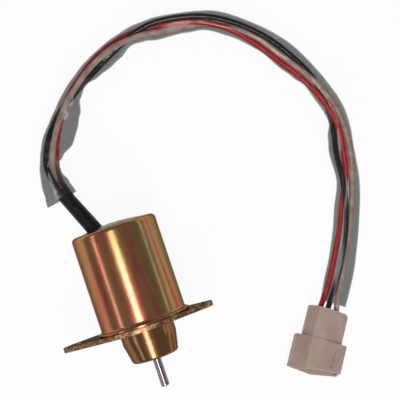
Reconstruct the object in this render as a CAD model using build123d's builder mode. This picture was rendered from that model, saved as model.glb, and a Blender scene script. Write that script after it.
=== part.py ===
from build123d import *
from math import asin, atan2, cos, hypot, radians, sin, tan
import os

# A plunger solenoid that closes an engine's fuel valve, lying on its side on a table.
# Millimetres. +Z is up, +Y runs from the pin to the wire end, and the table is Z = 0.
os.makedirs("parts", exist_ok=True)

# Can, drawn from steel sheet
can_radius = 19.0
can_wall = 1.5
can_top = 46.0
rim_radius = 2.0
lip_reach = 2.1
foot_reach = 1.5
foot_thickness = 1.2
foot_bend = 1.0

# Mounting flange, blanked plate with a turned middle
flange_thickness = 2.0
flange_margin = 3.0
blank_half_width = 8.75
blank_inset = 1.8
ear_radius = 7.0
bolt_hole_radius = 3.5
left_ear_reach = 12.0
right_ear_reach = 5.0
flange_roll = 9.0

# Nose, turned cup below the flange
pilot_radius = 12.05
pilot_length = 5.0
nose_end_radius = 10.25
nose_length = 13.8
nose_edge_radius = 1.5
nose_floor = 4.3
shoulder = 0.6
nose_head_thickness = 1.2
bush_radius = 3.2

# Moving plunger and pin
plunger_share = 0.3685
plunger_length = 26.0
plunger_chamfer = 0.6
pin_radius = 1.9
pin_reach = 27.0
pin_press_depth = 6.0
pin_chamfer = 0.4
stroke = 10.0
stop_thickness = 1.0
stop_inset = 0.2

# Fixed iron and coils
tube_wall = 0.9
tube_end_gap = 1.5
washer_thickness = 3.0
pole_head_radius = 9.0
pole_head_thickness = 2.4
bobbin_wall = 1.0
bobbin_flange = 1.2
bobbin_room = 0.5
coil_room = 0.5
pull_in_share = 0.53

# Return spring
spring_wire = 0.9
spring_radius = 3.6
spring_turns = 7
spring_bore_radius = 4.6
spring_bore_depth = 12.0
spring_recess_depth = 4.0
seat_thickness = 0.5
seat_hole_radius = 1.5

# End cap and the strain relief that leans out of it
cap_dome = 1.5
cap_edge_drop = 0.4
cap_seat = 5.45
lead_offset = -7.3
lead_lean = 23.7
lead_drop = 8.2
lead_depth = 3.5
relief_length = 23.5
relief_base_radius = 3.5
relief_tip_radius = 3.2
relief_bore_radius = 2.9

# Cords
wire_radius = 1.2
sleeve_radius = 4.4
sleeve_wall = 0.4
sleeve_lap = 4.5

# Connector, three-way nylon housing
plug_x = 82.95
plug_y = -33.66
plug_heading = 235.81
plug_width = 18.3
plug_length = 13.9
plug_height = 11.16
plug_side = 5.17
roof_width = 5.3
roof_shift = -3.28
rear_corner = 2.2
side_step = 2.6
floor_step = 3.0
roof_step = 0.3
shroud_length = 13.4
shroud_wall = 1.2
mouth_rake = 10.6
mouth_turn = 9.7
lip_turn = 5.3
housing_round = 1.0
cavity_width = 6.9
cavity_height = 3.4
cavity_round = 0.8
side_cavity = 4.3
lower_cavity = 3.4
upper_cavity_x = -1.4
upper_cavity_y = 7.2
slot_x = 5.8
slot_width = 2.2
slot_length = 7.2
slot_start = 18.0
slot_depth = 0.5

# Terminals
barrel_start = 3.0
barrel_length = 6.0
barrel_radius = 1.5
barrel_bore = 0.9
tab_width = 6.3
tab_thickness = 0.8
tab_end = 21.5
tab_chamfer = 0.3

# Clearances
slide_gap = 0.1
fit_gap = 0.05
stop_gap = 0.3
coil_gap = 0.08

# Radii that follow the can
can_bore = can_radius - can_wall
lip_radius = can_radius - lip_reach
foot_radius = can_radius + foot_reach
flange_middle_radius = can_radius + flange_margin
blank_half_height = flange_middle_radius - blank_inset
left_hole = can_radius + left_ear_reach
right_hole = can_radius + right_ear_reach
bobbin_radius = can_bore - bobbin_room
plunger_radius = plunger_share * can_radius
stop_radius = plunger_radius - stop_inset

# The solenoid lies on the edge of the flange's middle and on the can's rolled rim,
# so its axis falls towards the wire end by the angle that lets both touch the table.
edge_rise = flange_middle_radius - (can_radius - rim_radius)
edge_run = can_top - rim_radius - flange_thickness
rest_tilt = atan2(edge_rise, edge_run) - asin(rim_radius / hypot(edge_rise, edge_run))
axis_height = flange_thickness * sin(rest_tilt) + flange_middle_radius * cos(rest_tilt)
axis_x = (left_hole - right_hole) / 2 * cos(radians(flange_roll))
axis_y = -(can_top + cap_dome - pin_reach) / 2 * cos(rest_tilt)
axis_direction = (0, cos(rest_tilt), -sin(rest_tilt))
axis = Plane(origin=(axis_x, axis_y, axis_height), x_dir=(1, 0, 0), z_dir=axis_direction)
ear_direction = axis.x_dir * cos(radians(flange_roll)) - axis.y_dir * sin(radians(flange_roll))
flange_plane = Plane(origin=axis.origin, x_dir=ear_direction, z_dir=axis.z_dir)

# Turned and drawn pieces are profiles in this plane: X is the radius, Y runs along the axis.
profile_plane = Plane(origin=axis.origin, x_dir=axis.x_dir, z_dir=-axis.y_dir)
turning_axis = Axis(axis.origin, axis.z_dir)

# Heights along the axis and radii that several pieces share
nose_floor_top = nose_floor - nose_length
tube_start = nose_floor_top + tube_end_gap
plunger_bottom = nose_floor_top + stop_thickness + stop_gap
plunger_top = plunger_bottom + plunger_length
pole_face = plunger_top + stroke + stop_gap
pole_recess_top = pole_face + spring_recess_depth
cap_shoulder = can_top - can_wall - fit_gap
washer_top = cap_shoulder - cap_seat
washer_height = washer_top - washer_thickness
pole_head_top = washer_top + pole_head_thickness
tube_bore = plunger_radius + slide_gap
tube_radius = tube_bore + tube_wall
bobbin_bore = tube_radius + slide_gap
winding_radius = bobbin_bore + bobbin_wall
spigot_radius = pilot_radius + shoulder
nose_head_top = flange_thickness + nose_head_thickness
bobbin_bottom = nose_head_top + slide_gap
bobbin_top = washer_height - slide_gap

# Can: deep-drawn steel, its foot turned out against the flange and its rim rolled inwards
with BuildPart() as can:
    with BuildSketch(profile_plane):
        with BuildLine():
            Polyline(
                (can_bore, flange_thickness),
                (foot_radius, flange_thickness),
                (foot_radius, flange_thickness + foot_thickness),
                (can_radius, flange_thickness + foot_thickness),
                (can_radius, can_top),
                (lip_radius, can_top),
                (lip_radius, can_top - can_wall),
                (can_bore, can_top - can_wall),
                close=True,
            )
        make_face()
    revolve(axis=turning_axis)
    rings = can.edges().filter_by(GeomType.CIRCLE).group_by(turning_axis)
    foot_edges = rings[1].sort_by(SortBy.RADIUS)
    inner_edges = rings[2].sort_by(SortBy.RADIUS)
    rim_edges = rings[-1].sort_by(SortBy.RADIUS)
    fillet(rim_edges[-1], rim_radius)
    fillet(inner_edges[-1], rim_radius - can_wall)
    fillet(foot_edges[0], foot_bend)
    fillet(foot_edges[-1], foot_thickness / 2)
can.part.label = "can"
export_step(can.part, "parts/can.step")

# Mounting flange: a lozenge blank with two bolt ears, its middle turned to a round edge
with BuildPart() as mounting_flange:
    with BuildSketch(flange_plane):
        with Locations((-left_hole, 0), (right_hole, 0)):
            Circle(ear_radius)
        Rectangle(2 * blank_half_width, 2 * blank_half_height)
        make_hull()
        Circle(flange_middle_radius)
        Circle(spigot_radius + fit_gap, mode=Mode.SUBTRACT)
        with Locations((-left_hole, 0), (right_hole, 0)):
            Circle(bolt_hole_radius, mode=Mode.SUBTRACT)
    extrude(amount=flange_thickness)
mounting_flange.part.label = "mounting_flange"
export_step(mounting_flange.part, "parts/mounting_flange.step")

# Nose: a turned cup pushed through the flange from inside the can, where its head stays.
# Below the flange it has a straight pilot and then a cone.
with BuildPart() as nose:
    with BuildSketch(profile_plane):
        with BuildLine():
            Polyline(
                (bush_radius + fit_gap, -nose_length),
                (nose_end_radius, -nose_length),
                (pilot_radius, -pilot_length),
                (pilot_radius, 0),
                (spigot_radius, 0),
                (spigot_radius, flange_thickness),
                (can_bore - slide_gap, flange_thickness),
                (can_bore - slide_gap, nose_head_top),
                (tube_radius + fit_gap, nose_head_top),
                (tube_radius + fit_gap, tube_start),
                (tube_bore, tube_start),
                (tube_bore, nose_floor_top),
                (bush_radius + fit_gap, nose_floor_top),
                close=True,
            )
        make_face()
    revolve(axis=turning_axis)
    end_edges = nose.edges().filter_by(GeomType.CIRCLE).group_by(turning_axis)[0]
    fillet(end_edges.sort_by(SortBy.RADIUS)[-1], nose_edge_radius)
nose.part.label = "nose"
export_step(nose.part, "parts/nose.step")

# Nose bush: bronze sleeve that the pin slides in
with BuildPart() as nose_bush:
    with BuildSketch(axis.offset(-nose_length)):
        Circle(bush_radius)
        Circle(pin_radius + fit_gap, mode=Mode.SUBTRACT)
    extrude(amount=nose_floor)
nose_bush.part.label = "nose_bush"
export_step(nose_bush.part, "parts/nose_bush.step")

# Stop washer: rubber ring on the nose floor that the plunger lands on
with BuildPart() as stop_washer:
    with BuildSketch(axis.offset(nose_floor_top)):
        Circle(stop_radius)
        Circle(bush_radius, mode=Mode.SUBTRACT)
    extrude(amount=stop_thickness)
stop_washer.part.label = "stop_washer"
export_step(stop_washer.part, "parts/stop_washer.step")

# Guide tube: thin brass tube that the plunger runs in
with BuildPart() as guide_tube:
    with BuildSketch(axis.offset(tube_start)):
        Circle(tube_radius)
        Circle(tube_bore, mode=Mode.SUBTRACT)
    extrude(amount=washer_height - slide_gap - tube_start)
guide_tube.part.label = "guide_tube"
export_step(guide_tube.part, "parts/guide_tube.step")

# Plunger: soft iron, bored at the bottom for the pin and at the top for the spring
with BuildPart() as plunger:
    with BuildSketch(profile_plane):
        with BuildLine():
            Polyline(
                (pin_radius + fit_gap, plunger_bottom),
                (plunger_radius, plunger_bottom),
                (plunger_radius, plunger_top),
                (spring_bore_radius, plunger_top),
                (spring_bore_radius, plunger_top - spring_bore_depth),
                (0, plunger_top - spring_bore_depth),
                (0, plunger_bottom + pin_press_depth),
                (pin_radius + fit_gap, plunger_bottom + pin_press_depth),
                close=True,
            )
        make_face()
    revolve(axis=turning_axis)
    plunger_rings = plunger.edges().filter_by(GeomType.CIRCLE)
    chamfer(plunger_rings.sort_by(SortBy.RADIUS)[-2:], plunger_chamfer)
plunger.part.label = "plunger"
export_step(plunger.part, "parts/plunger.step")

# Plunger pin: ground steel, pressed into the plunger, that pushes the fuel valve shut
with BuildPart() as plunger_pin:
    with BuildSketch(axis.offset(-pin_reach)):
        Circle(pin_radius)
    extrude(amount=pin_reach + plunger_bottom + pin_press_depth)
    chamfer(plunger_pin.edges().filter_by(GeomType.CIRCLE), pin_chamfer)
plunger_pin.part.label = "plunger_pin"
export_step(plunger_pin.part, "parts/plunger_pin.step")

# Pole piece: fixed iron core with a head on the flux washer and a recess for the spring
with BuildPart() as pole_piece:
    with BuildSketch(profile_plane):
        with BuildLine():
            Polyline(
                (spring_bore_radius, pole_face),
                (tube_bore - slide_gap, pole_face),
                (tube_bore - slide_gap, washer_top),
                (pole_head_radius, washer_top),
                (pole_head_radius, pole_head_top),
                (0, pole_head_top),
                (0, pole_recess_top),
                (spring_bore_radius, pole_recess_top),
                close=True,
            )
        make_face()
    revolve(axis=turning_axis)
pole_piece.part.label = "pole_piece"
export_step(pole_piece.part, "parts/pole_piece.step")

# Spring seat: steel washer at the top of the pole's recess
with BuildPart() as spring_seat:
    with BuildSketch(axis.offset(pole_recess_top - seat_thickness)):
        Circle(spring_bore_radius - slide_gap)
        Circle(seat_hole_radius, mode=Mode.SUBTRACT)
    extrude(amount=seat_thickness)
spring_seat.part.label = "spring_seat"
export_step(spring_seat.part, "parts/spring_seat.step")

# Return spring: wound wire between the plunger's bore and the seat
spring_start = plunger_top - spring_bore_depth + spring_wire / 2 + fit_gap
spring_end = pole_recess_top - seat_thickness - spring_wire / 2 - fit_gap
spring_height = spring_end - spring_start
spring_pitch = spring_height / spring_turns
spring_centre = axis.from_local_coords((0, 0, spring_start))
with BuildPart() as return_spring:
    with BuildLine() as spring_line:
        Helix(spring_pitch, spring_height, spring_radius, center=spring_centre, direction=axis.z_dir)
    with BuildSketch(Plane(origin=spring_line.line @ 0, z_dir=spring_line.line % 0)):
        Circle(spring_wire / 2)
    sweep(path=spring_line.line, is_frenet=True)
return_spring.part.label = "return_spring"
export_step(return_spring.part, "parts/return_spring.step")

# Bobbin: moulded spool around the guide tube
with BuildPart() as bobbin:
    with BuildSketch(profile_plane):
        with BuildLine():
            Polyline(
                (bobbin_bore, bobbin_bottom),
                (bobbin_radius, bobbin_bottom),
                (bobbin_radius, bobbin_bottom + bobbin_flange),
                (winding_radius, bobbin_bottom + bobbin_flange),
                (winding_radius, bobbin_top - bobbin_flange),
                (bobbin_radius, bobbin_top - bobbin_flange),
                (bobbin_radius, bobbin_top),
                (bobbin_bore, bobbin_top),
                close=True,
            )
        make_face()
    revolve(axis=turning_axis)
bobbin.part.label = "bobbin"
export_step(bobbin.part, "parts/bobbin.step")

# Coils: the strong pull-in winding inside and the light hold-in winding over it
coil_bottom = bobbin_bottom + bobbin_flange + coil_gap
coil_height = bobbin_top - bobbin_flange - coil_gap - coil_bottom
winding_depth = bobbin_radius - coil_room - winding_radius - 2 * coil_gap
pull_in_build = pull_in_share * winding_depth
hold_in_build = winding_depth - pull_in_build
pull_in_inner = winding_radius + coil_gap
hold_in_inner = pull_in_inner + pull_in_build + coil_gap
with BuildPart() as pull_in_coil:
    with BuildSketch(axis.offset(coil_bottom)):
        Circle(pull_in_inner + pull_in_build)
        Circle(pull_in_inner, mode=Mode.SUBTRACT)
    extrude(amount=coil_height)
pull_in_coil.part.label = "pull_in_coil"
export_step(pull_in_coil.part, "parts/pull_in_coil.step")

with BuildPart() as hold_in_coil:
    with BuildSketch(axis.offset(coil_bottom)):
        Circle(hold_in_inner + hold_in_build)
        Circle(hold_in_inner, mode=Mode.SUBTRACT)
    extrude(amount=coil_height)
hold_in_coil.part.label = "hold_in_coil"
export_step(hold_in_coil.part, "parts/hold_in_coil.step")

# Flux washer: steel ring that closes the magnetic path from the can to the pole
with BuildPart() as flux_washer:
    with BuildSketch(axis.offset(washer_height)):
        Circle(can_bore - slide_gap)
        Circle(tube_bore - slide_gap + fit_gap, mode=Mode.SUBTRACT)
    extrude(amount=washer_thickness)
flux_washer.part.label = "flux_washer"
export_step(flux_washer.part, "parts/flux_washer.step")

# The leads leave the cap beside its middle, leaning outwards and a little down.
lead_side = -sin(radians(lead_lean)) * cos(radians(lead_drop))
lead_forward = cos(radians(lead_lean)) * cos(radians(lead_drop))
lead_direction = (lead_side, lead_forward, -sin(radians(lead_drop)))
lead_origin = axis.from_local_coords((lead_offset, 0, can_top))
lead_plane = Plane(origin=lead_origin, z_dir=lead_direction)

# End cap: black moulding held under the rolled rim, hollow over the pole's head
cap_radius = lip_radius - slide_gap
cap_chamfer = rim_radius - can_wall
cap_hollow_radius = pole_head_radius + 2 * slide_gap
cap_hollow_top = pole_head_top + 2 * slide_gap
with BuildPart() as end_cap:
    with BuildSketch(profile_plane):
        with BuildLine():
            Polyline(
                (0, can_top + cap_dome),
                (0, cap_hollow_top),
                (cap_hollow_radius, cap_hollow_top),
                (cap_hollow_radius, washer_top),
                (can_bore - slide_gap, washer_top),
                (can_bore - slide_gap, cap_shoulder - cap_chamfer),
                (can_bore - slide_gap - cap_chamfer, cap_shoulder),
                (cap_radius, cap_shoulder),
                (cap_radius, can_top - cap_edge_drop),
            )
            TangentArc((0, can_top + cap_dome), (cap_radius, can_top - cap_edge_drop), tangent=(1, 0))
        make_face()
    revolve(axis=turning_axis)
    with BuildSketch(lead_plane.offset(-lead_depth)):
        Circle(relief_base_radius + fit_gap)
    extrude(amount=3 * lead_depth, mode=Mode.SUBTRACT)
    with BuildSketch(lead_plane):
        Circle(relief_bore_radius)
    extrude(amount=-2 * (can_top - cap_hollow_top), mode=Mode.SUBTRACT)
end_cap.part.label = "end_cap"
export_step(end_cap.part, "parts/end_cap.step")

# Strain relief: tapered rubber sleeve over the three wires where they leave the cap
with BuildPart() as strain_relief:
    with BuildSketch(lead_plane.offset(-lead_depth)):
        Circle(relief_base_radius)
    with BuildSketch(lead_plane.offset(relief_length)):
        Circle(relief_tip_radius)
    loft()
    with BuildSketch(lead_plane.offset(-lead_depth)):
        Circle(relief_bore_radius)
    extrude(amount=lead_depth + relief_length, mode=Mode.SUBTRACT)
strain_relief.part.label = "strain_relief"
export_step(strain_relief.part, "parts/strain_relief.step")

# Connector: it rests on its rear edge and on the step of its wider shroud,
# which tips the mouth up. X is across it, Y is up and Z runs to the mouth.
plug_tip = atan2(floor_step, plug_length)
mouth_x = cos(radians(plug_heading))
mouth_y = sin(radians(plug_heading))
plug_direction = (mouth_x * cos(plug_tip), mouth_y * cos(plug_tip), sin(plug_tip))
plug_plane = Plane(origin=(plug_x, plug_y, 0), x_dir=(-mouth_y, mouth_x, 0), z_dir=plug_direction)
shroud_back = plug_length + shroud_wall
shroud_end = plug_length + shroud_length
shroud_half = plug_width / 2 + side_step
shroud_side = plug_side + roof_step / 2
shroud_roof = plug_height + roof_step
roof_left = roof_shift - roof_width / 2
roof_right = roof_shift + roof_width / 2


def turned_plane(x, y, z, turn, rake):
    """A plane across the connector, turned about its height and raked back at the roof."""
    side = plug_plane.x_dir * sin(radians(turn)) + plug_plane.z_dir * cos(radians(turn))
    normal = side * cos(radians(rake)) + plug_plane.y_dir * sin(radians(rake))
    return Plane(origin=plug_plane.from_local_coords((x, y, z)), z_dir=normal)


def house(half, floor, side, roof):
    """Corners of the housing's section: a floor, two low walls and a roof with two ridges."""
    return [(-half, floor), (half, floor), (half, side), (roof_right, roof), (roof_left, roof), (-half, side)]


mouth_plane = turned_plane(0, shroud_roof, shroud_end, mouth_turn, mouth_rake)
lip_place = plug_plane.to_local_coords(
    Axis(plug_plane.from_local_coords((0, -floor_step, 0)), plug_plane.z_dir).intersect(mouth_plane)
)
lip_plane = turned_plane(0, -floor_step, lip_place.Z, -lip_turn, 0)
slope_angle = atan2(shroud_roof - shroud_side, shroud_half - roof_right)
slope_height = shroud_roof - (slot_x - roof_right) * tan(slope_angle)
slot_plane = Plane(
    origin=plug_plane.from_local_coords((slot_x, slope_height, slot_start + slot_length / 2)),
    x_dir=plug_plane.z_dir,
    z_dir=plug_plane.y_dir * cos(slope_angle) + plug_plane.x_dir * sin(slope_angle),
)
plan_plane = Plane(origin=plug_plane.origin, x_dir=plug_plane.x_dir, z_dir=-plug_plane.y_dir)
cavity_places = {
    "red": (-side_cavity, lower_cavity),
    "white": (side_cavity, lower_cavity),
    "black": (upper_cavity_x, upper_cavity_y),
}
with BuildPart() as connector_housing:
    with BuildSketch(plug_plane) as block_outline:
        with BuildLine():
            Polyline(*house(plug_width / 2, 0, plug_side, plug_height), close=True)
        make_face()
        fillet(block_outline.vertices(), housing_round)
    extrude(amount=plug_length)
    with BuildSketch(plan_plane):
        with Locations(((plug_width - rear_corner) / 2, rear_corner / 2)):
            Rectangle(rear_corner, rear_corner)
        with Locations((plug_width / 2 - rear_corner, rear_corner)):
            Circle(rear_corner, mode=Mode.SUBTRACT)
    extrude(amount=plug_height, both=True, mode=Mode.SUBTRACT)
    with BuildSketch(plug_plane.offset(plug_length)) as shroud_outline:
        with BuildLine():
            Polyline(*house(shroud_half, -floor_step, shroud_side, shroud_roof), close=True)
        make_face()
        fillet(shroud_outline.vertices(), housing_round)
    extrude(amount=2 * shroud_length)
    with BuildSketch(plug_plane.offset(shroud_back)):
        with BuildLine():
            Polyline(
                *house(
                    shroud_half - shroud_wall,
                    shroud_wall - floor_step,
                    shroud_side - shroud_wall / 2,
                    shroud_roof - shroud_wall,
                ),
                close=True,
            )
        make_face()
    extrude(amount=2 * shroud_length, mode=Mode.SUBTRACT)
    split(bisect_by=mouth_plane, keep=Keep.BOTTOM)
    split(bisect_by=lip_plane, keep=Keep.BOTTOM)
    with BuildSketch(plug_plane):
        with Locations(*cavity_places.values()):
            RectangleRounded(cavity_width, cavity_height, cavity_round)
    extrude(amount=shroud_back, mode=Mode.SUBTRACT)
    with BuildSketch(slot_plane):
        Rectangle(slot_length, slot_width)
    extrude(amount=-slot_depth, mode=Mode.SUBTRACT)
connector_housing.part.label = "connector_housing"
export_step(connector_housing.part, "parts/connector_housing.step")

# Terminals: a crimped barrel on each wire's end and a flat tab out into the shroud
for colour, place in cavity_places.items():
    with BuildPart() as terminal:
        with BuildSketch(plug_plane.offset(barrel_start)):
            with Locations(place):
                Circle(barrel_radius)
                Circle(barrel_bore, mode=Mode.SUBTRACT)
        extrude(amount=barrel_length)
        with BuildSketch(plug_plane.offset(barrel_start + barrel_length)):
            with Locations(place):
                Rectangle(tab_width, tab_thickness)
        extrude(amount=tab_end - barrel_start - barrel_length)
        tip = terminal.faces().sort_by(Axis(plug_plane.origin, plug_plane.z_dir))[-1]
        chamfer(tip.edges(), tab_chamfer)
    terminal.part.label = f"terminal_{colour}"
    export_step(terminal.part, f"parts/terminal_{colour}.step")

# Routes of the three wires and of the clear sleeve over them. They leave the cap,
# come down to the table beyond the can, go round in one loop and end at the connector.
red_route = [
    (-1.3, 32.9, 18.5), (-7.4, 46.5, 16.4), (-13.3, 60.4, 14.2), (-13.0, 74.7, 9.2),
    (-3.2, 90.1, 5.0), (17.4, 105.1, 2.6), (40.2, 111.9, 2.3), (63.7, 110.7, 2.3),
    (84.2, 100.5, 2.3), (101.1, 81.8, 2.3), (111.3, 60.8, 2.3), (113.7, 40.1, 2.3),
    (106.6, 14.9, 2.3), (96.8, -6.4, 2.3), (85.9, -24.4, 3.2), (78.26, -32.92, 3.92),
]
white_route = [
    (-3.7, 31.9, 18.5), (-9.7, 45.5, 16.4), (-15.9, 59.9, 14.2), (-15.6, 75.5, 9.2),
    (-5.2, 91.9, 5.0), (16.2, 107.5, 2.6), (39.8, 114.5, 2.3), (64.3, 113.3, 2.3),
    (85.8, 102.7, 2.3), (103.3, 83.2, 2.3), (113.9, 61.6, 2.3), (116.3, 39.9, 2.3),
    (109.0, 14.1, 2.3), (99.2, -7.6, 2.3), (88.5, -26.6, 3.2), (85.38, -37.75, 3.92),
]
black_route = [
    (-2.7, 32.7, 20.7), (-8.6, 46.0, 18.6), (-14.6, 60.1, 16.4), (-14.3, 75.1, 11.5),
    (-4.2, 91.0, 7.3), (16.8, 106.3, 4.9), (40.0, 113.2, 4.6), (64.0, 112.0, 4.6),
    (85.0, 101.6, 4.6), (102.2, 82.5, 4.6), (112.6, 61.2, 4.6), (115.0, 40.0, 4.6),
    (107.8, 14.5, 4.6), (98.0, -7.0, 4.6), (87.6, -25.2, 5.6), (81.11, -33.88, 7.63),
]
sleeve_route = [
    (-9.2, 47.9, 16.9), (-14.6, 60.1, 14.9), (-14.3, 75.1, 10.2), (-4.2, 91.0, 6.6),
    (16.8, 106.3, 4.7), (40.0, 113.2, 4.5), (64.0, 112.0, 4.5), (85.0, 101.6, 4.5),
    (102.2, 82.5, 4.5), (112.6, 61.2, 4.5), (115.0, 40.0, 4.5), (107.8, 14.5, 4.5),
    (98.0, -7.0, 4.5), (86.1, -26.5, 4.5),
]


def bend_radii(route):
    """Radius of the bend at each inner point, as large as its two runs allow."""
    points = [Vector(point) for point in route]
    runs = [end - start for start, end in zip(points, points[1:])]
    radii = []
    for before, after in zip(runs, runs[1:]):
        half_turn = radians(before.get_angle(after)) / 2
        radii.append(0.45 * min(before.length, after.length) / tan(half_turn))
    print("bend radii", [round(radius, 1) for radius in radii])
    return radii


with BuildPart() as wire_red:
    with BuildLine() as red_line:
        FilletPolyline(*red_route, radius=bend_radii(red_route))
    with BuildSketch(Plane(origin=red_line.line @ 0, z_dir=red_line.line % 0)):
        Circle(wire_radius)
    sweep(path=red_line.line)
wire_red.part.label = "wire_red"
export_step(wire_red.part, "parts/wire_red.step")

with BuildPart() as wire_white:
    with BuildLine() as white_line:
        FilletPolyline(*white_route, radius=bend_radii(white_route))
    with BuildSketch(Plane(origin=white_line.line @ 0, z_dir=white_line.line % 0)):
        Circle(wire_radius)
    sweep(path=white_line.line)
wire_white.part.label = "wire_white"
export_step(wire_white.part, "parts/wire_white.step")

with BuildPart() as wire_black:
    with BuildLine() as black_line:
        FilletPolyline(*black_route, radius=bend_radii(black_route))
    with BuildSketch(Plane(origin=black_line.line @ 0, z_dir=black_line.line % 0)):
        Circle(wire_radius)
    sweep(path=black_line.line)
wire_black.part.label = "wire_black"
export_step(wire_black.part, "parts/wire_black.step")

# Clear sleeve: thin plastic tube slipped over the strain relief and the wires
with BuildPart() as clear_sleeve:
    with BuildLine() as sleeve_line:
        FilletPolyline(*sleeve_route, radius=bend_radii(sleeve_route))
    with BuildSketch(Plane(origin=sleeve_line.line @ 0, z_dir=sleeve_line.line % 0)):
        Circle(sleeve_radius)
        Circle(sleeve_radius - sleeve_wall, mode=Mode.SUBTRACT)
    sweep(path=sleeve_line.line)
    with BuildSketch(lead_plane.offset(relief_length - sleeve_lap)):
        Circle(2 * sleeve_radius)
    extrude(amount=-relief_length, mode=Mode.SUBTRACT)
clear_sleeve.part.label = "clear_sleeve"
export_step(clear_sleeve.part, "parts/clear_sleeve.step")
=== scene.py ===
import math

import bmesh
import bpy
from mathutils import Matrix, Vector, noise


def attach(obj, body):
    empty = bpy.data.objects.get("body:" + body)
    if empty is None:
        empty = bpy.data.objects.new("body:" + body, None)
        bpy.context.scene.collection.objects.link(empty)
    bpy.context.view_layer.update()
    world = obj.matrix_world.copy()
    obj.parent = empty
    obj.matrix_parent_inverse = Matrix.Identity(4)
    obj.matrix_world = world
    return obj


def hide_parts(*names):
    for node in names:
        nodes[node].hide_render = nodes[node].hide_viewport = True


# A plunger solenoid for an engine's fuel shutoff, lying on a table with its wire harness
# in one loop. Metres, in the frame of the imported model: +Z is up from the table.
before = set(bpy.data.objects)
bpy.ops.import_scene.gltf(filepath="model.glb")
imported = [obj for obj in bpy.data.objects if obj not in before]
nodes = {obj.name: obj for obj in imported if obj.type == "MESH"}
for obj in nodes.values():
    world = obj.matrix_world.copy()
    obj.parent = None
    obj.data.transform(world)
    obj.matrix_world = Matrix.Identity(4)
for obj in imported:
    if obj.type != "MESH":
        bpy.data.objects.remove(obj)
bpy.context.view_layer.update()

# Three insulated wires run from the solenoid's cap to the connector.
# Each is stranded copper in a soft extruded jacket, slightly glossy, red, white or black.
# They lie loose inside the clear sleeve and cross over each other where it turns.
WIRE = 0.0026


def finish(name, colour, roughness, metallic=0.0):
    """A new material with one Principled shader; returns it with its node tree and shader.

    A pattern linked later takes the place of the plain colour and roughness given here.
    """
    material = bpy.data.materials.new(name)
    material.use_nodes = True
    shader = material.node_tree.nodes["Principled BSDF"]
    shader.inputs["Base Color"].default_value = (*colour, 1.0)
    shader.inputs["Roughness"].default_value = roughness
    shader.inputs["Metallic"].default_value = metallic
    return material, material.node_tree, shader


def pattern(tree, scale, detail=3.0, stretch=(1.0, 1.0, 1.0)):
    """Noise over the piece's own Object coordinates; returns its node."""
    place = tree.nodes.new("ShaderNodeTexCoord")
    mapping = tree.nodes.new("ShaderNodeMapping")
    mapping.inputs["Scale"].default_value = stretch
    grain = tree.nodes.new("ShaderNodeTexNoise")
    grain.inputs["Scale"].default_value = scale
    grain.inputs["Detail"].default_value = detail
    tree.links.new(place.outputs["Object"], mapping.inputs["Vector"])
    tree.links.new(mapping.outputs["Vector"], grain.inputs["Vector"])
    return grain


def shades(tree, source, target, *stops):
    """A colour ramp from a source socket to a target socket, with (place, colour) stops."""
    ramp = tree.nodes.new("ShaderNodeValToRGB")
    ramp.color_ramp.elements[0].position = stops[0][0]
    ramp.color_ramp.elements[0].color = (*stops[0][1], 1.0)
    ramp.color_ramp.elements[1].position = stops[-1][0]
    ramp.color_ramp.elements[1].color = (*stops[-1][1], 1.0)
    for place, colour in stops[1:-1]:
        ramp.color_ramp.elements.new(place).color = (*colour, 1.0)
    tree.links.new(source, ramp.inputs["Fac"])
    tree.links.new(ramp.outputs["Color"], target)


def roughen(tree, source, shader, low, high):
    """Roughness that wanders between two values with a source socket."""
    spread = tree.nodes.new("ShaderNodeMapRange")
    spread.inputs["To Min"].default_value = low
    spread.inputs["To Max"].default_value = high
    tree.links.new(source, spread.inputs["Value"])
    tree.links.new(spread.outputs["Result"], shader.inputs["Roughness"])


def emboss(tree, source, shader, strength, distance):
    """Bump from a source socket, with its height in metres."""
    bump = tree.nodes.new("ShaderNodeBump")
    bump.inputs["Strength"].default_value = strength
    bump.inputs["Distance"].default_value = distance
    tree.links.new(source, bump.inputs["Height"])
    tree.links.new(bump.outputs["Normal"], shader.inputs["Normal"])


def route_curve(name, points, radius):
    """A smooth spline with the route's points as its control points."""
    curve = bpy.data.curves.new(name, "CURVE")
    curve.dimensions = "3D"
    curve.resolution_u = 16
    curve.bevel_depth = radius
    curve.bevel_resolution = 5
    curve.use_fill_caps = True
    spline = curve.splines.new("NURBS")
    spline.points.add(len(points) - 1)
    for control, point in zip(spline.points, points):
        control.co = (*point, 1.0)
    spline.order_u = 3
    spline.use_endpoint_u = True
    cord = bpy.data.objects.new(name, curve)
    bpy.context.scene.collection.objects.link(cord)
    return cord


def jacket(name, deep, pale):
    """Extruded wire insulation: slightly uneven colour, a faint drawn surface."""
    material, tree, shader = finish(name, pale, 0.35)
    streak = pattern(tree, 240.0, 4.0)
    shades(tree, streak.outputs["Fac"], shader.inputs["Base Color"], (0.35, deep), (0.65, pale))
    roughen(tree, streak.outputs["Fac"], shader, 0.12, 0.24)
    emboss(tree, streak.outputs["Fac"], shader, 0.2, 0.00005)
    return material


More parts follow.
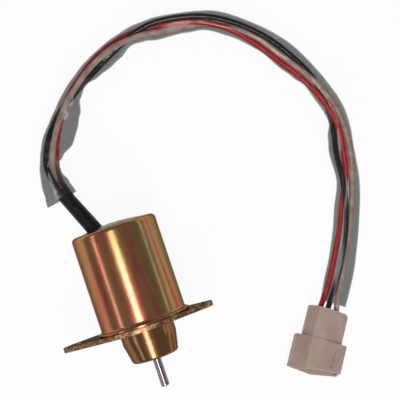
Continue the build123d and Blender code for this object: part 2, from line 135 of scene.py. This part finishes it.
red_route = [
    (-0.0013, 0.0329, 0.0185), (-0.0074, 0.0465, 0.0164), (-0.0099, 0.0541, 0.0135),
    (-0.0130, 0.0633, 0.0108), (-0.0099, 0.0760, 0.0087), (-0.0047, 0.0860, 0.0070),
    (0.0009, 0.0945, 0.0055), (0.0088, 0.1017, 0.0037), (0.0200, 0.1095, 0.0022),
    (0.0337, 0.1143, 0.0014), (0.0467, 0.1142, 0.0015), (0.0575, 0.1125, 0.0033),
    (0.0692, 0.1095, 0.0044), (0.0801, 0.1027, 0.0042), (0.0892, 0.0928, 0.0036),
    (0.0976, 0.0810, 0.0032), (0.1059, 0.0692, 0.0035), (0.1114, 0.0566, 0.0042),
    (0.1138, 0.0447, 0.0040), (0.1125, 0.0333, 0.0029), (0.1104, 0.0221, 0.0018),
    (0.1051, 0.0127, 0.0014), (0.1005, 0.0010, 0.0015), (0.0933, -0.0115, 0.0020),
    (0.0856, -0.0246, 0.0026), (0.0809, -0.0293, 0.0033), (0.0783, -0.0329, 0.0039),
]
white_route = [
    (-0.0037, 0.0319, 0.0185), (-0.0097, 0.0455, 0.0164), (-0.0137, 0.0527, 0.0141),
    (-0.0146, 0.0656, 0.0127), (-0.0102, 0.0780, 0.0110), (-0.0038, 0.0882, 0.0094),
    (0.0049, 0.0970, 0.0080), (0.0149, 0.1046, 0.0073), (0.0271, 0.1103, 0.0070),
    (0.0416, 0.1121, 0.0058), (0.0557, 0.1097, 0.0030), (0.0711, 0.1080, 0.0014),
    (0.0847, 0.1017, 0.0016), (0.0936, 0.0915, 0.0028), (0.1026, 0.0784, 0.0040),
    (0.1112, 0.0657, 0.0045), (0.1158, 0.0521, 0.0041), (0.1163, 0.0385, 0.0034),
    (0.1139, 0.0247, 0.0027), (0.1089, 0.0100, 0.0023), (0.1028, -0.0039, 0.0021),
    (0.0953, -0.0181, 0.0024), (0.0874, -0.0316, 0.0030), (0.0854, -0.0378, 0.0039),
]
black_route = [
    (-0.0027, 0.0327, 0.0207), (-0.0086, 0.0460, 0.0186), (-0.0119, 0.0536, 0.0178),
    (-0.0163, 0.0648, 0.0152), (-0.0156, 0.0732, 0.0112), (-0.0107, 0.0829, 0.0069),
    (-0.0031, 0.0916, 0.0034), (0.0074, 0.0976, 0.0018), (0.0193, 0.1046, 0.0019),
    (0.0316, 0.1105, 0.0031), (0.0436, 0.1154, 0.0045), (0.0569, 0.1149, 0.0053),
    (0.0718, 0.1113, 0.0054), (0.0849, 0.1033, 0.0048), (0.0958, 0.0930, 0.0039),
    (0.1039, 0.0814, 0.0028), (0.1099, 0.0704, 0.0018), (0.1120, 0.0584, 0.0014),
    (0.1118, 0.0455, 0.0015), (0.1088, 0.0338, 0.0026), (0.1083, 0.0227, 0.0040),
    (0.1057, 0.0097, 0.0047), (0.1005, -0.0044, 0.0050), (0.0921, -0.0194, 0.0056),
    (0.0839, -0.0299, 0.0066), (0.0811, -0.0339, 0.0076),
]
wire_lengths = {"red": 0.311, "white": 0.314, "black": 0.317}
for shade, route, deep, pale in (
    ("red", red_route, (0.68, 0.006, 0.010), (0.92, 0.012, 0.022)),
    ("white", white_route, (0.62, 0.36, 0.29), (0.90, 0.66, 0.57)),
    ("black", black_route, (0.004, 0.003, 0.003), (0.012, 0.008, 0.007)),
):
    wire = route_curve("jacket_" + shade, route, WIRE / 2)
    wire.data.materials.append(jacket("wire_" + shade, deep, pale))
    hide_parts("wire_" + shade)
    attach(wire, "solenoid")

# The clear sleeve is thin soft tubing, slipped over the wires and packed flat before.
# It lies oval on the table, flattens and pinches on the inside of its bends and has cut ends.
# Its route is the line that its underside follows. Each row of its widths is a share of its
# length, then its reach in millimetres to the inside and to the outside of the loop.
SLEEVE_ROUND = 0.0050
SLEEVE_FLAT = 0.0056
SLEEVE_WALL = 0.0003
CREASE_HEIGHT = 0.0005
CREASES_A_METRE = 60
CREASES_AROUND = 0.9
CREASE_PATTERN = 3.0
OFF_TABLE = 0.0001
sleeve_route = [
    (-0.0136, 0.0532, 0.0137), (-0.0152, 0.0605, 0.0130), (-0.0149, 0.0675, 0.0106),
    (-0.0110, 0.0755, 0.0076), (-0.0056, 0.0830, 0.0054), (-0.0002, 0.0904, 0.0034),
    (0.0056, 0.0974, 0.0018), (0.0124, 0.1025, 0.0008), (0.0205, 0.1063, 0.0003),
    (0.0295, 0.1099, 0.0003), (0.0385, 0.1126, 0.0003), (0.0475, 0.1126, 0.0003),
    (0.0570, 0.1118, 0.0003), (0.0665, 0.1100, 0.0003), (0.0750, 0.1070, 0.0003),
    (0.0835, 0.1015, 0.0003), (0.0915, 0.0946, 0.0003), (0.0988, 0.0854, 0.0003),
    (0.1052, 0.0750, 0.0003), (0.1102, 0.0645, 0.0003), (0.1132, 0.0540, 0.0003),
    (0.1136, 0.0450, 0.0003), (0.1118, 0.0320, 0.0003), (0.1090, 0.0168, 0.0003),
    (0.1036, 0.0026, 0.0003), (0.0970, -0.0119, 0.0003), (0.0906, -0.0236, 0.0003),
    (0.0859, -0.0306, 0.0003),
]
sleeve_widths = [
    (0.00, 7.1, 7.3), (0.02, 6.5, 5.8), (0.04, 4.9, 4.5), (0.055, 3.6, 4.3), (0.07, 5.1, 4.8),
    (0.10, 7.6, 5.7), (0.125, 7.4, 5.5), (0.15, 6.5, 4.7), (0.175, 4.1, 3.9), (0.20, 3.0, 3.7),
    (0.225, 4.7, 4.3), (0.25, 5.2, 4.6), (0.275, 4.6, 4.7), (0.30, 3.2, 4.2), (0.325, 4.0, 4.3),
    (0.35, 5.2, 5.0), (0.40, 4.6, 4.9), (0.425, 4.0, 4.8), (0.475, 4.7, 5.0), (0.525, 5.1, 5.3),
    (0.575, 5.7, 5.7), (0.60, 5.2, 5.5), (0.625, 3.9, 5.0), (0.65, 4.4, 4.8), (0.70, 3.9, 5.0),
    (0.725, 5.7, 5.5), (0.75, 6.4, 5.4), (0.80, 5.0, 5.2), (0.85, 6.0, 5.6), (0.90, 6.0, 5.9),
    (0.95, 6.4, 6.4), (1.00, 6.0, 6.4),
]


def spline_line(points):
    """Points along the smooth line of a route, read from its spline."""
    guide = route_curve("guide", points, 0.0)
    line = bpy.data.meshes.new_from_object(guide.evaluated_get(bpy.context.evaluated_depsgraph_get()))
    places = [vertex.co.copy() for vertex in line.vertices]
    bpy.data.objects.remove(guide)
    return places


def between(table, share):
    """Widths at a share of the length, eased between the table's rows."""
    for before, after in zip(table, table[1:]):
        if share <= after[0]:
            ease = (share - before[0]) / (after[0] - before[0])
            ease = ease * ease * (3 - 2 * ease)
            return [before[i] + (after[i] - before[i]) * ease for i in (1, 2)]
    return table[-1][1:]


underside = spline_line(sleeve_route)
sleeve_runs = [0.0]
for before, after in zip(underside, underside[1:]):
    sleeve_runs.append(sleeve_runs[-1] + (after - before).length)
SLEEVE_LENGTH = sleeve_runs[-1]
AROUND = 32
shell = bmesh.new()
rings = []
for index, low in enumerate(underside):
    ahead = underside[min(index + 1, len(underside) - 1)]
    behind = underside[max(index - 1, 0)]
    along = (ahead - behind).normalized()
    inward = along.cross(Vector((0, 0, 1))).normalized()
    upward = inward.cross(along)
    share = sleeve_runs[index] / SLEEVE_LENGTH
    inner, outer = (0.001 * width for width in between(sleeve_widths, share))
    spread = (inner + outer) / 2 - SLEEVE_ROUND
    height = max(2 * (SLEEVE_ROUND - spread), SLEEVE_FLAT)
    middle = low + upward * height / 2
    ring = []
    for step in range(AROUND):
        turn = 2 * math.pi * step / AROUND
        side = math.cos(turn)
        rise = math.sin(turn)
        reach = inner if side > 0 else outer
        place = middle + inward * side * reach + upward * rise * height / 2
        crease = noise.noise(Vector((
            SLEEVE_LENGTH * share * CREASES_A_METRE, turn * CREASES_AROUND, CREASE_PATTERN)))
        place += (inward * side + upward * rise) * crease * CREASE_HEIGHT
        place.z = max(place.z, OFF_TABLE)
        ring.append(shell.verts.new(place))
    rings.append(ring)
for first, second in zip(rings, rings[1:]):
    for step in range(AROUND):
        turned = (step + 1) % AROUND
        side = shell.faces.new((first[step], first[turned], second[turned], second[step]))
        side.smooth = True
        # The lower half takes the second film, darker and denser: a painted shadow of the tube on the
        # table.
        side.material_index = 0 if step < AROUND / 2 else 1
bmesh.ops.recalc_face_normals(shell, faces=shell.faces)
sleeve_mesh = bpy.data.meshes.new("clear_tubing")
shell.to_mesh(sleeve_mesh)
shell.free()
tubing = bpy.data.objects.new("clear_tubing", sleeve_mesh)
bpy.context.scene.collection.objects.link(tubing)
wall = tubing.modifiers.new("wall", "SOLIDIFY")
wall.thickness = SLEEVE_WALL
wall.offset = -1.0


def film(name, cover, deep, pale):
    """Clear vinyl skin: a thin grey-green cover, creased and glossy. A denser, darker cover makes it
    a painted shadow.
    """
    material, tree, shader = finish(name, pale, 0.18)
    shader.inputs["Alpha"].default_value = cover
    shader.inputs["IOR"].default_value = 1.7
    haze = pattern(tree, 35.0, 2.0)
    shades(tree, haze.outputs["Fac"], shader.inputs["Base Color"], (0.3, deep), (0.7, pale))
    emboss(tree, haze.outputs["Fac"], shader, 0.3, 0.0006)
    return material


# The underside film is darker and more opaque than the top one. It paints the shadow that the tube
# and wires cast on the table below.
sleeve_mesh.materials.append(film("sleeve_top", 0.18, (0.01, 0.015, 0.012), (0.03, 0.04, 0.035)))
sleeve_mesh.materials.append(film("sleeve_underside_painted_shadow", 0.54, (0.07, 0.11, 0.09), (0.14, 0.20, 0.17)))
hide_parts("clear_sleeve")
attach(tubing, "solenoid")

# The strain relief is a black rubber sleeve moulded over the wires where they leave the cap.
# It tapers slightly, has a dull skin and is held in the cap's socket.
rubber, rubber_tree, rubber_shader = finish("relief_rubber", (0.02, 0.016, 0.016), 0.45)
rubber_shader.inputs["Specular IOR Level"].default_value = 0.25
rubber_grain = pattern(rubber_tree, 500.0, 4.0)
shades(rubber_tree, rubber_grain.outputs["Fac"], rubber_shader.inputs["Base Color"],
       (0.35, (0.004, 0.003, 0.003)), (0.65, (0.011, 0.008, 0.008)))
roughen(rubber_tree, rubber_grain.outputs["Fac"], rubber_shader, 0.35, 0.55)
emboss(rubber_tree, rubber_grain.outputs["Fac"], rubber_shader, 0.3, 0.0001)


def dress(node_name, material):
    """Give a carried-over node its finish."""
    node = nodes[node_name]
    node.data.materials.clear()
    node.data.materials.append(material)


dress("strain_relief", rubber)

# The end cap is a black phenolic moulding held in the can by the rolled rim.
# It is slightly domed, with a bluish sheen and fine moulding marks.
moulding, moulding_tree, moulding_shader = finish("cap_moulding", (0.02, 0.022, 0.025), 0.3)
moulding_shader.inputs["Specular IOR Level"].default_value = 0.25
cap_grain = pattern(moulding_tree, 300.0, 5.0)
shades(moulding_tree, cap_grain.outputs["Fac"], moulding_shader.inputs["Base Color"],
       (0.35, (0.006, 0.007, 0.009)), (0.65, (0.018, 0.021, 0.025)))
roughen(moulding_tree, cap_grain.outputs["Fac"], moulding_shader, 0.22, 0.4)
emboss(moulding_tree, cap_grain.outputs["Fac"], moulding_shader, 0.15, 0.0001)
dress("end_cap", moulding)

# The can is drawn steel with yellow chromate over zinc, so it is gold, copper and olive
# in streaks along its drawn length. Its rim is rolled over the cap and its foot turned out.
# The streaks run along the solenoid's own axis, which leans 4 degrees as it lies.
AXIS_POINT = Vector((0.003457, -0.010223, 0.0220865))
AXIS_TILT = math.radians(4.0787)


def chromate(name, stops, streak_scale, rough_low, rough_high, grain=0.12, stretch=0.08):
    """Yellow chromate: streaks along the solenoid's axis, or specks where stretch is 1."""
    material, tree, shader = finish(name, (0.7, 0.45, 0.25), 0.25, 1.0)
    shader.inputs["Specular Tint"].default_value = (0.14, 0.15, 0.10, 1.0)
    shader.inputs["Coat Weight"].default_value = 0.22
    shader.inputs["Coat Roughness"].default_value = 0.14
    place = tree.nodes.new("ShaderNodeTexCoord")
    centre = tree.nodes.new("ShaderNodeMapping")
    centre.inputs["Location"].default_value = (-AXIS_POINT.x, -AXIS_POINT.y, -AXIS_POINT.z)
    turn = tree.nodes.new("ShaderNodeMapping")
    turn.inputs["Rotation"].default_value = (AXIS_TILT, 0, 0)
    turn.inputs["Scale"].default_value = (1.0, stretch, 1.0)
    tree.links.new(place.outputs["Object"], centre.inputs["Vector"])
    tree.links.new(centre.outputs["Vector"], turn.inputs["Vector"])
    streak = tree.nodes.new("ShaderNodeTexNoise")
    streak.inputs["Scale"].default_value = streak_scale
    streak.inputs["Detail"].default_value = 2.5
    tree.links.new(turn.outputs["Vector"], streak.inputs["Vector"])
    shades(tree, streak.outputs["Fac"], shader.inputs["Base Color"], *stops)
    fine = pattern(tree, 900.0, 4.0, (1.0, 0.15, 1.0))
    roughen(tree, fine.outputs["Fac"], shader, rough_low, rough_high)
    emboss(tree, fine.outputs["Fac"], shader, grain, 0.00006)
    return material


can_stops = [
    (0.30, (0.24, 0.22, 0.08)), (0.42, (0.43, 0.22, 0.09)), (0.50, (0.47, 0.14, 0.09)),
    (0.58, (0.46, 0.21, 0.10)), (0.70, (0.28, 0.23, 0.09)),
]
dress("can", chromate("can_chromate", can_stops, 110.0, 0.16, 0.28))

# The mounting flange is blanked plate in the same finish, with a painted dark reflection on its flat
# faces.
# Its edge is rough from shearing, and its middle is turned to a smooth round edge.
flange_stops = [
    (0.36, (0.20, 0.11, 0.06)), (0.46, (0.34, 0.18, 0.09)), (0.54, (0.46, 0.25, 0.13)),
    (0.64, (0.66, 0.42, 0.24)),
]
plate = chromate(
    "flange_chromate_painted_reflection", flange_stops, 900.0, 0.26, 0.50, grain=0.35, stretch=1.0)
plate_tree = plate.node_tree
plate_shader = plate_tree.nodes["Principled BSDF"]
plate_shader.inputs["Coat Weight"].default_value = 0.0

# The flat faces lie half the plate's thickness either side of its middle, measured along
# the axis. They take a painted dark grey-green reflection, and the sheared edge keeps the brighter
# chromate.
PLATE_HALF = 0.001
FACE_DEPTH = 0.00004
FACE_BLEND = 0.00001
axis_direction = Vector((0.0, math.cos(AXIS_TILT), -math.sin(AXIS_TILT)))
edge_colour = plate_shader.inputs["Base Color"].links[0].from_socket
spot = plate_tree.nodes.new("ShaderNodeTexCoord")
along_axis = plate_tree.nodes.new("ShaderNodeVectorMath")
along_axis.operation = "DOT_PRODUCT"
along_axis.inputs[1].default_value = axis_direction
off_middle = plate_tree.nodes.new("ShaderNodeMath")
off_middle.operation = "SUBTRACT"
off_middle.inputs[1].default_value = AXIS_POINT.dot(axis_direction) + PLATE_HALF
distance = plate_tree.nodes.new("ShaderNodeMath")
distance.operation = "ABSOLUTE"
face_share = plate_tree.nodes.new("ShaderNodeMapRange")
face_share.inputs["From Min"].default_value = PLATE_HALF - FACE_DEPTH
face_share.inputs["From Max"].default_value = PLATE_HALF - FACE_BLEND
faces = plate_tree.nodes.new("ShaderNodeMix")
faces.data_type = "RGBA"
mix_share, mix_edge, mix_painted_reflection = faces.inputs[0], faces.inputs[6], faces.inputs[7]
# The flat faces' colour is a painted reflection of the grey surroundings, mottled by noise.
blotch = pattern(plate_tree, 130.0, 3.0)
shades(plate_tree, blotch.outputs["Fac"], mix_painted_reflection,
       (0.35, (0.07, 0.075, 0.05)), (0.65, (0.16, 0.14, 0.09)))
plate_tree.links.new(spot.outputs["Object"], along_axis.inputs[0])
plate_tree.links.new(along_axis.outputs["Value"], off_middle.inputs[0])
plate_tree.links.new(off_middle.outputs["Value"], distance.inputs[0])
plate_tree.links.new(distance.outputs["Value"], face_share.inputs["Value"])
plate_tree.links.new(face_share.outputs["Result"], mix_share)
plate_tree.links.new(edge_colour, mix_edge)
plate_tree.links.new(faces.outputs[2], plate_shader.inputs["Base Color"])
dress("mounting_flange", plate)

# The nose is a turned steel cup in the same finish: a straight pilot, then a cone
# with a rounded end. A bronze bush in its end guides the pin.
nose_stops = [
    (0.30, (0.17, 0.14, 0.05)), (0.45, (0.30, 0.15, 0.06)), (0.55, (0.29, 0.11, 0.06)),
    (0.70, (0.22, 0.16, 0.06)),
]
dress("nose", chromate("nose_chromate", nose_stops, 150.0, 0.16, 0.28))

# The pin is ground steel, bright, with fine grinding lines along it.
# It is pressed into the plunger, and both slide along the solenoid's axis.


def bright(name, dark, light, rough_low, rough_high, scale=160.0):
    """Bare machined metal: a little uneven in colour and gloss."""
    material, tree, shader = finish(name, light, rough_low, 1.0)
    marks = pattern(tree, scale, 4.0, (1.0, 0.2, 1.0))
    shades(tree, marks.outputs["Fac"], shader.inputs["Base Color"], (0.3, dark), (0.7, light))
    roughen(tree, marks.outputs["Fac"], shader, rough_low, rough_high)
    emboss(tree, marks.outputs["Fac"], shader, 0.05, 0.00002)
    return material


dress("plunger_pin", bright("pin_steel", (0.24, 0.19, 0.19), (0.44, 0.38, 0.37), 0.12, 0.2))
dress("nose_bush", bright("bush_bronze", (0.40, 0.24, 0.10), (0.62, 0.42, 0.20), 0.3, 0.5))

# Inside the can, out of sight: the iron plunger, pole piece and flux washer that carry
# the magnetic field, the brass guide tube, the spring with its seat and the rubber stop.
iron = bright("soft_iron", (0.30, 0.30, 0.31), (0.52, 0.52, 0.52), 0.3, 0.5)
for inner_piece in ("plunger", "pole_piece", "flux_washer"):
    dress(inner_piece, iron)
dress("guide_tube", bright("tube_brass", (0.58, 0.42, 0.16), (0.78, 0.62, 0.30), 0.2, 0.35))
wire_steel = bright("spring_steel", (0.38, 0.38, 0.40), (0.60, 0.60, 0.62), 0.2, 0.35)
dress("return_spring", wire_steel)
dress("spring_seat", wire_steel)
dress("stop_washer", rubber)

# The bobbin is a moulded spool that carries two windings of enamelled copper wire,
# the strong pull-in coil inside and the light hold-in coil over it.
spool, spool_tree, spool_shader = finish("bobbin_moulding", (0.75, 0.70, 0.58), 0.45)
spool_grain = pattern(spool_tree, 300.0, 3.0)
shades(spool_tree, spool_grain.outputs["Fac"], spool_shader.inputs["Base Color"],
       (0.3, (0.66, 0.62, 0.50)), (0.7, (0.80, 0.76, 0.64)))
dress("bobbin", spool)
enamel = bright("coil_enamel", (0.36, 0.10, 0.03), (0.62, 0.24, 0.08), 0.25, 0.4, 1200.0)
dress("pull_in_coil", enamel)
dress("hold_in_coil", enamel)

# The connector is a three-way housing moulded in natural nylon: a block for the wires
# and a wider shroud with a ridged roof round the tabs. It is waxy, a dusky pink in shade.
nylon, nylon_tree, nylon_shader = finish("housing_nylon", (0.45, 0.33, 0.29), 0.5)
nylon_grain = pattern(nylon_tree, 120.0, 4.0)
shades(nylon_tree, nylon_grain.outputs["Fac"], nylon_shader.inputs["Base Color"],
       (0.3, (0.42, 0.30, 0.26)), (0.7, (0.50, 0.36, 0.315)))
roughen(nylon_tree, nylon_grain.outputs["Fac"], nylon_shader, 0.4, 0.6)
nylon_shader.inputs["Subsurface Weight"].default_value = 0.15
nylon_shader.inputs["Subsurface Radius"].default_value = (0.002, 0.0015, 0.001)
nylon_shader.inputs["Subsurface Scale"].default_value = 1.0
emboss(nylon_tree, nylon_grain.outputs["Fac"], nylon_shader, 0.15, 0.0001)
dress("connector_housing", nylon)

# The terminals are stamped brass, tinned: a barrel crimped on the wire and a flat tab.
tinned = bright("terminal_tin", (0.48, 0.44, 0.36), (0.72, 0.68, 0.58), 0.2, 0.4)
for shade in wire_lengths:
    dress("terminal_" + shade, tinned)

# The table is a plain sheet of white paper, wide enough to fill the picture.
# The camera, metal and glass see it mostly as plain white light, and what is left of the
# paper keeps the object's soft shadow.
TABLE = 4.0
WHITE_SHARE = 0.93
sheet = bmesh.new()
bmesh.ops.create_grid(sheet, x_segments=1, y_segments=1, size=TABLE)
table_mesh = bpy.data.meshes.new("table")
sheet.to_mesh(table_mesh)
sheet.free()
table = bpy.data.objects.new("table", table_mesh)
bpy.context.scene.collection.objects.link(table)
paper, paper_tree, paper_shader = finish("table_white", (0.9, 0.9, 0.9), 0.9)
paper_output = paper_tree.nodes["Material Output"]
seen = paper_tree.nodes.new("ShaderNodeLightPath")
either = paper_tree.nodes.new("ShaderNodeMath")
either.operation = "MAXIMUM"
through = paper_tree.nodes.new("ShaderNodeMath")
through.operation = "MAXIMUM"
amount = paper_tree.nodes.new("ShaderNodeMath")
amount.operation = "MULTIPLY"
amount.inputs[1].default_value = WHITE_SHARE
white = paper_tree.nodes.new("ShaderNodeEmission")
white.inputs["Color"].default_value = (1, 1, 1, 1)
white.inputs["Strength"].default_value = 1.0
blend = paper_tree.nodes.new("ShaderNodeMixShader")
paper_tree.links.new(seen.outputs["Is Camera Ray"], either.inputs[0])
paper_tree.links.new(seen.outputs["Is Glossy Ray"], either.inputs[1])
paper_tree.links.new(either.outputs["Value"], through.inputs[0])
paper_tree.links.new(seen.outputs["Is Transmission Ray"], through.inputs[1])
paper_tree.links.new(through.outputs["Value"], amount.inputs[0])
paper_tree.links.new(amount.outputs["Value"], blend.inputs["Fac"])
paper_tree.links.new(paper_shader.outputs["BSDF"], blend.inputs[1])
paper_tree.links.new(white.outputs["Emission"], blend.inputs[2])
paper_tree.links.new(blend.outputs["Shader"], paper_output.inputs["Surface"])
table_mesh.materials.append(paper)

# Studio light: a grey room, a long softbox overhead and a narrow one on either side.
world = bpy.data.worlds.new("studio")
world.use_nodes = True
room = world.node_tree.nodes["Background"]
room.inputs["Color"].default_value = (0.26, 0.255, 0.25, 1.0)
room.inputs["Strength"].default_value = 1.0
bpy.context.scene.world = world


def aimed(place, forward, side):
    """The matrix of a lamp or camera at a place, looking forward, its X axis along side."""
    return Matrix.Translation(place) @ Matrix(
        (side, side.cross(forward), -forward)).transposed().to_4x4()


def softbox(name, place, target, width, length, power):
    """A rectangular lamp at a place, its long side along Y, facing a target."""
    lamp = bpy.data.lights.new(name, "AREA")
    lamp.shape = "RECTANGLE"
    lamp.size = width
    lamp.size_y = length
    lamp.energy = power
    box = bpy.data.objects.new(name, lamp)
    facing = (Vector(target) - Vector(place)).normalized()
    side = facing.cross(Vector((0, 1, 0))).normalized()
    box.matrix_world = aimed(place, facing, side)
    bpy.context.scene.collection.objects.link(box)


softbox("key_softbox", (-0.08, -0.31, 0.85), (0.02, 0.03, 0.0), 0.20, 0.9, 5.4)
softbox("left_strip", (-0.62, 0.02, 0.42), (0.0, 0.02, 0.02), 0.06, 0.8, 0.5)
softbox("right_strip", (0.85, 0.1, 0.22), (0.0, 0.03, 0.02), 0.03, 0.8, 0.25)

# The camera looks down on the table as the photograph does, from about 0.44 m above it,
# with the picture turned 18 degrees from the solenoid's axis.
LENS = 87.975
SENSOR = 36.0
EYE = Vector((0.032031, 0.056824, 0.444323))
AIM = Vector((0.043267, 0.034043, 0.015))
PICTURE_TURN = math.radians(18.45)
PICTURE_UP = Vector((math.sin(PICTURE_TURN), math.cos(PICTURE_TURN), 0.0))
view = bpy.data.cameras.new("camera")
view.lens = LENS
view.sensor_width = SENSOR
view.clip_start = 0.01
camera = bpy.data.objects.new("camera", view)
forward = (AIM - EYE).normalized()
right = forward.cross(PICTURE_UP).normalized()
camera.matrix_world = aimed(EYE, forward, right)
bpy.context.scene.collection.objects.link(camera)
bpy.context.scene.camera = camera
bpy.context.scene.view_settings.view_transform = "Standard"
